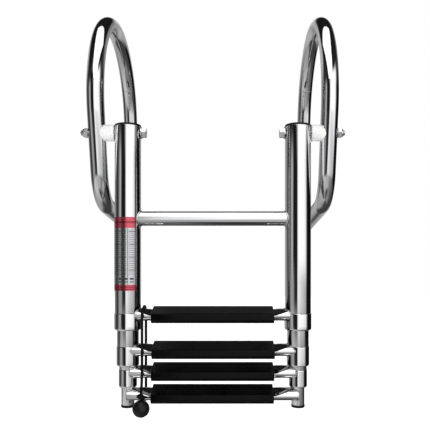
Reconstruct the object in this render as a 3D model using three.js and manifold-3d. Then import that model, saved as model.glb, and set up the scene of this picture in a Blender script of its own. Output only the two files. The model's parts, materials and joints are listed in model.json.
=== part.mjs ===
// Telescoping boat boarding ladder with two handrail loops, shown stowed.
// Millimetres, +Z up along the rails, X across the ladder, +Y towards the boat.
import * as THREE from 'three';
import * as BufferGeometryUtils from 'three/addons/utils/BufferGeometryUtils.js';
import Module from 'manifold-3d';

const wasm = await Module();
wasm.setup();

// ---- Driving dimensions. Heights are above the undersides of the two feet. ----

const GAP = 0.3;                    // left between pieces that touch
const SIDES = 20;                   // faces around every rail piece
const OVAL_POINTS = 32;             // faces around every step piece
const RAIL_X = 125;                 // rail axes, either side of the middle

// The four rail tubes of a side, outermost first: 1 1/2, 1 1/4, 1 and 3/4 inch.
const TUBES = [
  { radius: 19.05, bottom: 138.3, top: 410.9 },
  { radius: 15.875, bottom: 90.0, top: 390 },
  { radius: 12.7, bottom: 55.9, top: 356 },
  { radius: 9.525, bottom: 3.8, top: 325 },
];
const TUBE_WALL = 1.2;

// A collar ends each of the first three tubes and closes in on the next one.
const COLLARS = [
  { radius: 19.75, bottom: 113.2, top: 138.0 },
  { radius: 16.5, bottom: 60.6, top: 89.7 },
  { radius: 13.3, bottom: 29.4, top: 55.6 },
];
const LIP_HEIGHT = 1.6;
const LIP_CLEARANCE = 0.45;         // between a collar's lip and the tube inside it

// Plastic guide bushes fill the ring between one tube and the next.
const LOWER_BUSH_TOPS = [131, 78, 47];
const TOP_BUSH_LENGTH = 20;
const SECTION_TRAVEL = [236, 254, 254];
const BUSH_CLEARANCE = 0.35;

const CROSSBAR_HEIGHT = 276.6;
const CROSSBAR_RADIUS = 10.65;
const CROSSBAR_WALL = 1.5;

// Step tubes are 1 inch tube pressed to an oval, inside a moulded cover. Between the rail
// and the cover the top is pressed flat as well, and it slopes down towards the front, so
// that the treads are level when the ladder stands off from the boat.
const STEPS = [
  { height: 135.7, halfLength: RAIL_X, coverShift: 0 },
  { height: 83.8, halfLength: RAIL_X, coverShift: 0.8 },
  { height: 51.9, halfLength: 120, coverShift: 0 },
  { height: 19.1, halfLength: RAIL_X, coverShift: -0.5 },
];
const STEP_HALF_DEPTH = 15.5;
const STEP_HALF_HEIGHT = 9;
const TREAD_SLOPE = THREE.MathUtils.degToRad(17);
const PRESSED_DEPTH = 4.2;          // from the tube's middle to its pressed top
const UNPRESSED_DEPTH = 9.9;        // the same where the slope just misses the oval
const PRESS_START = 111;            // distance from the middle where pressing begins
const PRESS_END = 90;
const COVER_HALF_LENGTH = 89;
const COVER_DEPTH = 36;
const COVER_HEIGHT = 23;
const COVER_CORNER = 6.5;
const COVER_TOP_DEPTH = 7.4;        // from the tube's middle to the cover's sloping top

const PLUG_RIM_HEIGHT = 2.8;
const FOOT_RADIUS = 10;
const FOOT_HEIGHT = 3.5;

const PIVOT_HEIGHT = 402.3;
const BOLT_RADIUS = 4;
const BOLT_HOLE_RADIUS = 4.4;
const HEX_CORNER_RADIUS = 7.5;      // 13 mm across flats
const BOLT_HEAD_LENGTH = 6.5;
const WASHER_RADIUS = 8.5;
const WASHER_THICKNESS = 1.5;
const NUT_LENGTH = 7.8;
const BOLT_TIP = 2.8;

// Handrails: one closed loop of 1 inch tube each, in a plane beside the rails.
const HANDRAIL_X = 170.35;
const HANDRAIL_RADIUS = 12.7;
const HANDRAIL_SIDES = 18;          // puts a flat face on the underside of the bottom run
const HANDRAIL_TILT = THREE.MathUtils.degToRad(13.5);   // legs lean away from the boat
const BOTTOM_SLOPE = THREE.MathUtils.degToRad(6.8);     // bottom run falls towards the boat
const HANDRAIL_TOP_BEND = 139.7;    // 5 1/2 inch, so the loop is 12 inches across outside
const HANDRAIL_BOTTOM_BEND = 60;
const LEG_ABOVE_PIVOT = 29.3;
const LEG_BELOW_PIVOT = 57.5;

const SPACER_RADIUS = 12;

const LABEL = { bottom: 171.4, top: 277.8, from: -202, to: -42, radius: 19.35, thickness: 0.3 };

const CORD_X = -101.3;
const CORD_RADIUS = 2;
const BALL_RADIUS = 12.3;
const BALL_CENTRE = new THREE.Vector3(-101, -29, 5);

// ---- Materials ----

const finish = (color, metalness, roughness) =>
  new THREE.MeshStandardMaterial({ color, metalness, roughness });
const steel = finish(0xd6d8da, 1, 0.06);
const blackPlastic = finish(0x0c0c0d, 0, 0.55);
const blackRubber = finish(0x101010, 0, 0.8);
const whiteNylon = finish(0xf1f0ec, 0, 0.5);
const labelPrint = finish(0xb9bdc0, 0, 0.4);

// ---- Tools for solids ----

function toSolid(geometry) {
  geometry.deleteAttribute('normal');
  geometry.deleteAttribute('uv');
  const merged = BufferGeometryUtils.mergeVertices(geometry, 1e-4);
  return new wasm.Manifold(new wasm.Mesh({
    numProp: 3,
    vertProperties: new Float32Array(merged.attributes.position.array),
    triVerts: new Uint32Array(merged.index.array),
  }));
}

function toGeometry(solid) {
  const mesh = solid.getMesh();
  const geometry = new THREE.BufferGeometry();
  geometry.setAttribute('position', new THREE.BufferAttribute(mesh.vertProperties, 3));
  geometry.setIndex(new THREE.BufferAttribute(mesh.triVerts, 1));
  return geometry;
}

function cut(geometry, ...cutters) {
  let solid = toSolid(geometry);
  for (const cutter of cutters) solid = solid.subtract(toSolid(cutter));
  return toGeometry(solid);
}

function join(first, second) {
  return toGeometry(toSolid(first).add(toSolid(second)));
}

// A solid of revolution about Z. The profile is [radius, height] pairs, anticlockwise.
function turned(profile, sides = SIDES) {
  const points = profile.map(([radius, height]) => new THREE.Vector2(radius, height));
  return new THREE.LatheGeometry(points, sides).rotateX(Math.PI / 2);
}

function ring(inner, outer, bottom, top, sides = SIDES) {
  return turned([[inner, bottom], [outer, bottom], [outer, top], [inner, top], [inner, bottom]],
    sides);
}

function rod(radius, bottom, top, sides = SIDES) {
  return turned([[0, bottom], [radius, bottom], [radius, top], [0, top]], sides);
}

// Turns a solid of revolution so that its axis lies along X, at the pivot's height.
function alongPivot(geometry) {
  return geometry.rotateY(Math.PI / 2).translate(0, 0, PIVOT_HEIGHT);
}

// A quarter circle in a turned profile, from angle a to b in degrees about (radius, height).
function arc(radius, height, bend, a, b, steps = 3) {
  const points = [];
  for (let i = 0; i <= steps; i += 1) {
    const angle = THREE.MathUtils.degToRad(a + (b - a) * i / steps);
    points.push([radius + bend * Math.cos(angle), height + bend * Math.sin(angle)]);
  }
  return points;
}

// An extrusion along X, centred on the middle. The shape's x is Y and its y is Z.
function acrossLadder(shape, halfLength) {
  const geometry = new THREE.ExtrudeGeometry(shape,
    { depth: 2 * halfLength, bevelEnabled: false, curveSegments: 4 });
  return geometry.translate(0, 0, -halfLength).rotateX(Math.PI / 2).rotateZ(Math.PI / 2);
}

// Points of an oval about the middle, as [Y, Z]. What stands more than `depth` above the
// middle, measured square to the tread's slope, is pressed down to it.
function ovalPoints(halfDepth, halfHeight, depth) {
  const points = [];
  for (let i = 0; i < OVAL_POINTS; i += 1) {
    const angle = 2 * Math.PI * i / OVAL_POINTS;
    const y = halfDepth * Math.cos(angle);
    const z = halfHeight * Math.sin(angle);
    const above = z * Math.cos(TREAD_SLOPE) - y * Math.sin(TREAD_SLOPE);
    const scale = above > depth ? depth / above : 1;
    points.push([y * scale, z * scale]);
  }
  return points;
}

// A closed tube along X through rings of [Y, Z] points, each ring at its own X.
function lofted(rings) {
  const count = rings[0].points.length;
  const positions = [];
  const triangles = [];
  for (const { x, points } of rings) for (const [y, z] of points) positions.push(x, y, z);
  for (let r = 0; r < rings.length - 1; r += 1) {
    for (let i = 0; i < count; i += 1) {
      const a = r * count + i;
      const b = r * count + (i + 1) % count;
      triangles.push(a, b, b + count, a, b + count, a + count);
    }
  }
  const last = (rings.length - 1) * count;
  for (let i = 1; i < count - 1; i += 1) {
    triangles.push(0, i + 1, i, last, last + i, last + i + 1);
  }
  const geometry = new THREE.BufferGeometry();
  geometry.setAttribute('position', new THREE.Float32BufferAttribute(positions, 3));
  geometry.setIndex(triangles);
  return geometry;
}

// ---- The scene ----

const ladder = new THREE.Group();

function add(name, geometry, material) {
  const mesh = new THREE.Mesh(geometry, material);
  mesh.name = name;
  ladder.add(mesh);
  return mesh;
}

// Adds one piece to each side, from a geometry made about the axis of its own rail.
function addPair(name, makeGeometry, material) {
  add(`left_${name}`, makeGeometry(), material).position.x = -RAIL_X;
  add(`right_${name}`, makeGeometry(), material).position.x = RAIL_X;
}

// ---- Rails ----

function outerTube() {
  const { radius, bottom, top } = TUBES[0];
  const boltHole = alongPivot(rod(BOLT_HOLE_RADIUS, -2 * radius, 2 * radius, 16));
  return cut(ring(radius - TUBE_WALL, radius, bottom, top), boltHole);
}

function innerTube(index) {
  const { radius, bottom, top } = TUBES[index];
  return ring(radius - TUBE_WALL, radius, bottom, top);
}

// A collar has the bore of its tube and a rounded lower edge that ends in a lip.
function collar(index) {
  const { radius, bottom, top } = COLLARS[index];
  const bore = TUBES[index].radius - TUBE_WALL;
  const lip = TUBES[index + 1].radius + LIP_CLEARANCE;
  const bend = radius - lip;
  const lipTop = bottom + LIP_HEIGHT;
  return turned([
    [bore, lipTop], [lip, lipTop], ...arc(lip, bottom + bend, bend, -90, 0),
    [radius, top], [bore, top], [bore, lipTop],
  ]);
}

// Fixed in the collar, for the next tube to slide in.
function lowerBush(index) {
  const outer = TUBES[index].radius - TUBE_WALL - GAP;
  const inner = TUBES[index + 1].radius + BUSH_CLEARANCE;
  const bottom = COLLARS[index].bottom + LIP_HEIGHT + GAP;
  return ring(inner, outer, bottom, LOWER_BUSH_TOPS[index]);
}

// Fixed on the top of an inner tube. It meets the lower bush when the tube is right out.
function topBush(index) {
  const inner = TUBES[index].radius + GAP;
  const outer = TUBES[index - 1].radius - TUBE_WALL - BUSH_CLEARANCE;
  const bottom = LOWER_BUSH_TOPS[index - 1] + SECTION_TRAVEL[index - 1] + 2 * GAP;
  return ring(inner, outer, bottom, bottom + TOP_BUSH_LENGTH);
}

function topPlug() {
  const rim = TUBES[0].radius + 0.2;
  const body = TUBES[0].radius - TUBE_WALL - GAP;
  const seat = TUBES[0].top + GAP;
  const bodyBottom = PIVOT_HEIGHT + BOLT_RADIUS + 2 * GAP;
  return turned([
    [0, bodyBottom], [body, bodyBottom], [body, seat], [rim, seat],
    ...arc(rim - 1.4, seat + PLUG_RIM_HEIGHT - 1.4, 1.4, 0, 90, 2),
    [0, seat + PLUG_RIM_HEIGHT + 0.6],
  ]);
}

function footCap() {
  const plug = TUBES[3].radius - TUBE_WALL - GAP;
  return turned([
    [0, 0], ...arc(FOOT_RADIUS - 1, 1, 1, -90, 0, 2),
    [FOOT_RADIUS, FOOT_HEIGHT], [plug, FOOT_HEIGHT], [plug, FOOT_HEIGHT + 10],
    [0, FOOT_HEIGHT + 10],
  ]);
}

addPair('outer_tube', outerTube, steel);
addPair('top_plug', topPlug, blackPlastic);
addPair('outer_collar', () => collar(0), steel);
addPair('outer_bush', () => lowerBush(0), whiteNylon);
for (const index of [1, 2]) {
  addPair(`tube_${index + 1}`, () => innerTube(index), steel);
  addPair(`collar_${index + 1}`, () => collar(index), steel);
  addPair(`lower_bush_${index + 1}`, () => lowerBush(index), whiteNylon);
  addPair(`top_bush_${index + 1}`, () => topBush(index), whiteNylon);
}
addPair('tube_4', () => innerTube(3), steel);
addPair('top_bush_4', () => topBush(3), whiteNylon);
addPair('foot_cap', footCap, blackPlastic);

// ---- Crossbar and steps ----

// Rail-shaped cutters that hollow the two ends of a cross tube to fit the rails.
function railCutters(radius, bottom, top) {
  return [-RAIL_X, RAIL_X].map((x) => rod(radius + GAP, bottom, top).translate(x, 0, 0));
}

function crossbar() {
  const tube = ring(CROSSBAR_RADIUS - CROSSBAR_WALL, CROSSBAR_RADIUS, -RAIL_X, RAIL_X, 20)
    .rotateY(Math.PI / 2).translate(0, 0, CROSSBAR_HEIGHT);
  return cut(tube, ...railCutters(TUBES[0].radius, CROSSBAR_HEIGHT - 20, CROSSBAR_HEIGHT + 20));
}

// The step's section where it is `x` from the middle, shrunk by `inset` all round.
function stepRing(x, inset) {
  const pressed = THREE.MathUtils.clamp(
    (PRESS_START - Math.abs(x)) / (PRESS_START - PRESS_END), 0, 1);
  const depth = THREE.MathUtils.lerp(UNPRESSED_DEPTH, PRESSED_DEPTH, pressed);
  const points = ovalPoints(STEP_HALF_DEPTH - inset, STEP_HALF_HEIGHT - inset, depth - inset);
  return { x, points };
}

function stepLoft(halfLength, inset) {
  const middle = [PRESS_START, 104, 97, PRESS_END];
  const stations = [-halfLength, ...middle.map((x) => -x), ...middle.reverse(), halfLength];
  return lofted(stations.map((x) => stepRing(x, inset)));
}

function stepTube(index) {
  const { height, halfLength } = STEPS[index];
  const { radius } = COLLARS[index] ?? TUBES[3];
  const cutters = railCutters(radius, -20, 20);
  const above = COLLARS[index - 1];
  if (above && above.bottom < height + STEP_HALF_HEIGHT + GAP) {
    cutters.push(...railCutters(above.radius, above.bottom - GAP - height, above.top - height));
  }
  const bore = stepLoft(halfLength + 1, TUBE_WALL);
  return cut(stepLoft(halfLength, 0), bore, ...cutters).translate(0, 0, height);
}

// A box with rounded edges whose top is cut off along the tread's slope.
function stepCover() {
  const y = COVER_DEPTH / 2 - COVER_CORNER;
  const z = COVER_HEIGHT / 2 - COVER_CORNER;
  const shape = new THREE.Shape();
  shape.absarc(y, z, COVER_CORNER, 0, Math.PI / 2);
  shape.absarc(-y, z, COVER_CORNER, Math.PI / 2, Math.PI);
  shape.absarc(-y, -z, COVER_CORNER, Math.PI, 1.5 * Math.PI);
  shape.absarc(y, -z, COVER_CORNER, 1.5 * Math.PI, 2 * Math.PI);
  const bore = ovalPoints(STEP_HALF_DEPTH + GAP, STEP_HALF_HEIGHT + GAP, PRESSED_DEPTH + GAP);
  const length = COVER_HALF_LENGTH + 1;
  const slab = new THREE.BoxGeometry(2 * length, 2 * COVER_DEPTH, COVER_HEIGHT)
    .translate(0, 0, COVER_TOP_DEPTH + COVER_HEIGHT / 2).rotateX(TREAD_SLOPE);
  return cut(acrossLadder(shape, COVER_HALF_LENGTH), slab,
    lofted([{ x: -length, points: bore }, { x: length, points: bore }]));
}

add('crossbar', crossbar(), steel);
STEPS.forEach(({ height, coverShift }, index) => {
  add(`step_${index + 1}_tube`, stepTube(index), steel);
  add(`step_${index + 1}_cover`, stepCover(), blackRubber)
    .position.set(coverShift, 0, height);
});

// ---- Label, wrapped round the front of the left outer tube ----

function labelSheet() {
  const from = THREE.MathUtils.degToRad(LABEL.from);
  const to = THREE.MathUtils.degToRad(LABEL.to);
  const shape = new THREE.Shape();
  shape.absarc(0, 0, LABEL.radius + LABEL.thickness, from, to);
  shape.absarc(0, 0, LABEL.radius, to, from, true);
  const sheet = new THREE.ExtrudeGeometry(shape,
    { depth: LABEL.top - LABEL.bottom, bevelEnabled: false, curveSegments: 9 });
  return sheet.translate(0, 0, LABEL.bottom);
}

add('tube_label', labelSheet(), labelPrint).position.x = -RAIL_X;

// ---- Pivot bolts, seen along the pivot from the middle of the ladder outwards ----

const HEAD_START = RAIL_X - TUBES[0].radius - 2 * GAP - WASHER_THICKNESS - BOLT_HEAD_LENGTH;
const HEAD_END = HEAD_START + BOLT_HEAD_LENGTH;
const NUT_START = HANDRAIL_X + HANDRAIL_RADIUS + GAP;
const NUT_END = NUT_START + NUT_LENGTH;

function pivotBolt() {
  const head = turned([
    [0, HEAD_START], [HEX_CORNER_RADIUS - 1.2, HEAD_START], [HEX_CORNER_RADIUS, HEAD_START + 1],
    [HEX_CORNER_RADIUS, HEAD_END], [0, HEAD_END],
  ], 6);
  const shank = turned([
    [0, HEAD_END - 1], [BOLT_RADIUS, HEAD_END - 1], [BOLT_RADIUS, NUT_END + BOLT_TIP - 1],
    [BOLT_RADIUS - 1, NUT_END + BOLT_TIP], [0, NUT_END + BOLT_TIP],
  ], 16);
  return alongPivot(join(head, shank));
}

function boltWasher() {
  return alongPivot(ring(BOLT_HOLE_RADIUS, WASHER_RADIUS, HEAD_END + GAP,
    HEAD_END + GAP + WASHER_THICKNESS, 16));
}

// A lock nut: six flats, then the round collar that holds its nylon insert.
function lockNut() {
  const hexEnd = NUT_START + 5.6;
  const hexagon = rod(HEX_CORNER_RADIUS, NUT_START, hexEnd, 6);
  const insert = turned([
    [0, hexEnd - 1], [6.2, hexEnd - 1], [6.2, NUT_END - 1], [5.2, NUT_END], [0, NUT_END],
  ], 16);
  const bore = rod(BOLT_HOLE_RADIUS, NUT_START - 1, NUT_END + 1, 16);
  return alongPivot(cut(join(hexagon, insert), bore));
}

// The spacer's outer end is hollowed to sit on the handrail tube.
function spacer() {
  const start = RAIL_X + TUBES[0].radius + GAP;
  const body = ring(BOLT_HOLE_RADIUS, SPACER_RADIUS, start, HANDRAIL_X - 2, 20);
  const legTube = rod(HANDRAIL_RADIUS + GAP, -30, 30, SIDES)
    .rotateX(HANDRAIL_TILT).translate(HANDRAIL_X, 0, PIVOT_HEIGHT);
  return cut(alongPivot(body), legTube);
}

// The mirror image of an indexed geometry across the middle of the ladder.
function mirroredAcross(geometry) {
  const mirrored = geometry.clone().scale(-1, 1, 1);
  const index = mirrored.getIndex();
  for (let i = 0; i < index.count; i += 3) {
    const first = index.getX(i);
    index.setX(i, index.getX(i + 1));
    index.setX(i + 1, first);
  }
  return mirrored;
}

function addMirrored(name, geometry, material) {
  add(`right_${name}`, geometry, material);
  add(`left_${name}`, mirroredAcross(geometry), material);
}

addMirrored('pivot_bolt', pivotBolt(), steel);
addMirrored('bolt_washer', boltWasher(), steel);
addMirrored('lock_nut', lockNut(), steel);
addMirrored('spacer', spacer(), whiteNylon);

// ---- Handrails ----

// A closed curve that gives its points and directions at chosen stations.
class StationCurve extends THREE.Curve {
  constructor(stations) {
    super();
    this.stations = stations;
  }

  station(u) {
    return this.stations[Math.round(u * this.stations.length) % this.stations.length];
  }

  getPointAt(u, target = new THREE.Vector3()) {
    return target.copy(this.station(u).point);
  }

  getTangentAt(u, target = new THREE.Vector3()) {
    return target.copy(this.station(u).tangent);
  }
}

// Directions in the handrail's plane, by angle from +Y towards +Z.
const direction = (angle) => new THREE.Vector3(0, Math.cos(angle), Math.sin(angle));

const LEG_UP = Math.PI / 2 + HANDRAIL_TILT;
const RUN_ALONG = -BOTTOM_SLOPE;

// Corner between two straight stretches: where the offset lines cross is the bend's centre.
function bendCentre(pointA, angleA, pointB, angleB, bend) {
  const a = pointA.clone().addScaledVector(direction(angleA + Math.PI / 2), bend);
  const b = pointB.clone().addScaledVector(direction(angleB + Math.PI / 2), bend);
  const dirA = direction(angleA);
  const dirB = direction(angleB);
  const gap = b.sub(a);
  const along = (gap.y * dirB.z - gap.z * dirB.y) / (dirA.y * dirB.z - dirA.z * dirB.y);
  return a.addScaledVector(dirA, along);
}

// The centre line runs down the front leg, back along the bottom and up over the top.
function handrailRoute() {
  const pivot = new THREE.Vector3(HANDRAIL_X, 0, PIVOT_HEIGHT);
  const legTop = pivot.clone().addScaledVector(direction(LEG_UP), LEG_ABOVE_PIVOT);
  const legBottom = pivot.clone().addScaledVector(direction(LEG_UP), -LEG_BELOW_PIVOT);
  const topCentre = legTop.clone()
    .addScaledVector(direction(LEG_UP - Math.PI / 2), HANDRAIL_TOP_BEND);
  const backLegTop = legTop.clone()
    .addScaledVector(direction(LEG_UP - Math.PI / 2), 2 * HANDRAIL_TOP_BEND);
  const frontCentre = legBottom.clone()
    .addScaledVector(direction(LEG_UP - Math.PI / 2), HANDRAIL_BOTTOM_BEND);
  const runStart = frontCentre.clone()
    .addScaledVector(direction(RUN_ALONG - Math.PI / 2), HANDRAIL_BOTTOM_BEND);
  const backCentre = bendCentre(runStart, RUN_ALONG, backLegTop, LEG_UP, HANDRAIL_BOTTOM_BEND);
  return { topCentre, frontCentre, backCentre };
}

const route = handrailRoute();

// Stations of one bend, turning anticlockwise from heading `from` to heading `to`.
function bendStations(centre, bend, from, to, steps) {
  const stations = [];
  for (let i = 0; i <= steps; i += 1) {
    const heading = from + (to - from) * i / steps;
    const point = centre.clone().addScaledVector(direction(heading - Math.PI / 2), bend);
    stations.push({ point, tangent: direction(heading) });
  }
  return stations;
}

function handrail() {
  const stations = [
    ...bendStations(route.frontCentre, HANDRAIL_BOTTOM_BEND, LEG_UP - Math.PI, RUN_ALONG, 6),
    ...bendStations(route.backCentre, HANDRAIL_BOTTOM_BEND, RUN_ALONG, LEG_UP, 8),
    ...bendStations(route.topCentre, HANDRAIL_TOP_BEND, LEG_UP, LEG_UP + Math.PI, 16),
  ];
  const curve = new StationCurve(stations);
  const tube = (radius, sides) =>
    new THREE.TubeGeometry(curve, stations.length, radius, sides, true);
  const boltHole = alongPivot(rod(BOLT_HOLE_RADIUS, NUT_START - 40, NUT_START, 16));
  return cut(tube(HANDRAIL_RADIUS, HANDRAIL_SIDES),
    tube(HANDRAIL_RADIUS - TUBE_WALL, HANDRAIL_SIDES - 6), boltHole);
}

addMirrored('handrail', handrail(), steel);

// ---- Elastic cord and ball that hold the stowed steps together ----

// Side view of the cord, as [Y, Z]: up the front from the ball, over the tube of step 1,
// down the back, under the tube of step 4, and up to the cord again above the ball.
const CORD_ROUTE = [
  [-28.6, 17.7], [-27.4, 22], [-24.2, 31], [-20.6, 42], [-18.6, 56], [-18.2, 72], [-18.2, 96],
  [-18.3, 122], [-18.4, 132], [-18.1, 137.6], [-15.7, 141.8], [-10.2, 144.3], [-3.6, 146.1],
  [3, 147.4], [9.2, 146.3], [14, 143.4], [17.3, 139], [18.4, 133], [18.3, 118], [18.3, 94],
  [18.3, 68], [18.3, 42], [18.5, 22], [16.2, 12.6], [9, 7.8], [0, 6.6], [-8.8, 8.0],
  [-14.9, 11.6], [-19.3, 16.2], [-23.1, 20.2],
];

function cordTube() {
  const curve = new THREE.CatmullRomCurve3(
    CORD_ROUTE.map(([y, z]) => new THREE.Vector3(CORD_X, y, z)));
  const section = new THREE.Shape().absarc(0, 0, CORD_RADIUS, 0, 2 * Math.PI);
  return new THREE.ExtrudeGeometry(section,
    { steps: 64, curveSegments: 4, extrudePath: curve, bevelEnabled: false });
}

add('bungee_cord', cordTube(), blackRubber);
add('bungee_ball', new THREE.SphereGeometry(BALL_RADIUS, 16, 10), blackRubber)
  .position.copy(BALL_CENTRE);

// ---- Frame: the origin is where a deck carries the handrails, midway between them ----

const runMiddle = route.frontCentre.clone().add(route.backCentre).multiplyScalar(0.5)
  .addScaledVector(direction(RUN_ALONG - Math.PI / 2), HANDRAIL_BOTTOM_BEND + HANDRAIL_RADIUS);
ladder.position.set(0, -runMiddle.y, -runMiddle.z);

export default ladder;
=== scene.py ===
"""Telescoping boat boarding ladder: the visual model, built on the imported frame."""

import json
import math

import bmesh
import bpy
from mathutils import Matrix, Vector


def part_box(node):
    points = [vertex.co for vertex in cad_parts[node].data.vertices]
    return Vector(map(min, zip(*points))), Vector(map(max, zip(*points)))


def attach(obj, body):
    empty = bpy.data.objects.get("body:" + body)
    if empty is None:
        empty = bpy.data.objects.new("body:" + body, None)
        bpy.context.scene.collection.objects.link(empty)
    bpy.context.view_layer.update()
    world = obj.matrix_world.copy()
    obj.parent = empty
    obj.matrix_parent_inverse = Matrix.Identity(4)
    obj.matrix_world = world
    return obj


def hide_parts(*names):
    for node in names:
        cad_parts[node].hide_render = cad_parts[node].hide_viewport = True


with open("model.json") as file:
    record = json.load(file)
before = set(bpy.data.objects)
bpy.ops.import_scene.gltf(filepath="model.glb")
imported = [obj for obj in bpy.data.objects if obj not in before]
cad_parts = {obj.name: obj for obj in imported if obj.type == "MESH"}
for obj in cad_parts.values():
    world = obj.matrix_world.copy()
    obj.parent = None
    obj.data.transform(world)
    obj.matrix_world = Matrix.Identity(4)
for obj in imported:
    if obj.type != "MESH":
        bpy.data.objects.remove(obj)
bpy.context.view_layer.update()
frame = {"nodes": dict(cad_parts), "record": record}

MM = 0.001
SIDES = ("left", "right")
SIGN = {"left": -1.0, "right": 1.0}


def centre_of(node):
    low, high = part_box(node)
    return (Vector(low) + Vector(high)) / 2


# Pieces are described in millimetres: X across, Y from the plane of the rails towards the
# boat, and Z above the undersides of the feet. HOME takes that to the frame.
RAIL_X = round(centre_of("right_outer_tube").x / MM, 3)
HOME = Vector((0.0, centre_of("right_outer_tube").y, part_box("left_foot_cap")[0][2]))


def to_frame(point):
    return HOME + Vector(point) * MM


def height_of(node, end):
    """Height of a node's lower (0) or upper (1) end above the feet, in millimetres."""
    return (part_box(node)[end][2] - HOME.z) / MM


# ---------------------------------------------------------------- camera

camera_data = bpy.data.cameras.new("camera")
camera_data.sensor_width = 36.0
camera_data.lens = 45.2
camera_data.shift_x = -0.0353
camera_data.shift_y = 0.093
camera_data.clip_start = 0.01
camera_data.clip_end = 60.0
camera = bpy.data.objects.new("camera", camera_data)
camera.location = to_frame((25.4, -794.0, 223.0))
camera.rotation_euler = (math.radians(90), 0, 0)
bpy.context.collection.objects.link(camera)
bpy.context.scene.camera = camera
bpy.context.scene.view_settings.view_transform = "Standard"

# ---------------------------------------------------------------- materials


class Nodes:
    """A short way to build one material's node tree."""

    def __init__(self, name):
        self.material = bpy.data.materials.new(name)
        self.material.use_nodes = True
        self.tree = self.material.node_tree
        self.shader = self.tree.nodes["Principled BSDF"]

    def add(self, kind, **settings):
        node = self.tree.nodes.new(kind)
        for key, value in settings.items():
            setattr(node, key, value)
        return node

    def link(self, source, target):
        self.tree.links.new(source, target)

    def put(self, **values):
        for key, value in values.items():
            self.shader.inputs[key.replace("_", " ")].default_value = value

    def coordinates(self, scale=(1, 1, 1)):
        source = self.add("ShaderNodeTexCoord")
        mapping = self.add("ShaderNodeMapping")
        mapping.inputs["Scale"].default_value = scale
        self.link(source.outputs["Object"], mapping.inputs["Vector"])
        return mapping.outputs["Vector"]

    def noise(self, scale, stretch=(1, 1, 1), detail=4.0, roughness=0.55):
        node = self.add("ShaderNodeTexNoise")
        node.inputs["Scale"].default_value = scale
        node.inputs["Detail"].default_value = detail
        node.inputs["Roughness"].default_value = roughness
        self.link(self.coordinates(stretch), node.inputs["Vector"])
        return node.outputs["Fac"]

    def between(self, factor, low, high, start=0.3, end=0.7):
        """A value from low to high as factor goes from start to end."""
        node = self.add("ShaderNodeMapRange")
        node.inputs["From Min"].default_value = start
        node.inputs["From Max"].default_value = end
        node.inputs["To Min"].default_value = low
        node.inputs["To Max"].default_value = high
        self.link(factor, node.inputs["Value"])
        return node.outputs["Result"]

    def colours(self, factor, low, high, start=0.3, end=0.7):
        node = self.add("ShaderNodeValToRGB")
        node.color_ramp.elements[0].position = start
        node.color_ramp.elements[0].color = (*low, 1)
        node.color_ramp.elements[1].position = end
        node.color_ramp.elements[1].color = (*high, 1)
        self.link(factor, node.inputs["Fac"])
        self.link(node.outputs["Color"], self.shader.inputs["Base Color"])

    def bump(self, height, distance, strength=1.0, under=None):
        node = self.add("ShaderNodeBump")
        node.inputs["Strength"].default_value = strength
        node.inputs["Distance"].default_value = distance
        self.link(height, node.inputs["Height"])
        if under is not None:
            self.link(under, node.inputs["Normal"])
        self.link(node.outputs["Normal"], self.shader.inputs["Normal"])
        return node.outputs["Normal"]


def polished_steel(name, grain, roughness=(0.035, 0.09), tone=0.86):
    """Mirror-polished stainless steel with fine buffing marks along `grain`."""
    m = Nodes(name)
    m.put(Metallic=1.0)
    cloud = m.noise(14.0, detail=3.0)
    m.colours(cloud, (tone * 0.965, tone * 0.97, tone * 0.98), (tone, tone, tone))
    lines = m.noise(60.0, stretch=grain, detail=6.0, roughness=0.7)
    m.link(m.between(lines, *roughness), m.shader.inputs["Roughness"])
    ripple = m.noise(9.0, stretch=(1, 1, 0.6), detail=1.0)
    soft = m.bump(ripple, 0.00018, 0.35)
    m.bump(lines, 0.000012, 0.5, under=soft)
    return m.material


def weld_steel():
    m = Nodes("weld_steel")
    m.put(Metallic=1.0)
    grain = m.noise(700.0, detail=4.0)
    m.colours(grain, (0.68, 0.68, 0.67), (0.86, 0.86, 0.85))
    m.link(m.between(grain, 0.16, 0.34), m.shader.inputs["Roughness"])
    m.bump(grain, 0.00008, 0.5)
    return m.material


def moulded(name, dark, light, roughness, grain_size, grain_depth, specular=0.5):
    """Moulded plastic or rubber: a fine grain, a faint change of tone and worn-in gloss."""
    m = Nodes(name)
    m.put(Metallic=0.0, Specular_IOR_Level=specular)
    cloud = m.noise(35.0, detail=5.0)
    m.colours(cloud, dark, light, 0.35, 0.7)
    m.link(m.between(cloud, roughness[0], roughness[1]), m.shader.inputs["Roughness"])
    m.bump(m.noise(grain_size, detail=3.0), grain_depth, 0.6)
    return m.material


# The cord's sleeve: strands each way round it, and how far each one turns in a millimetre.
STRANDS, STRAND_TWIST = 8.0, 0.62


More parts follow.
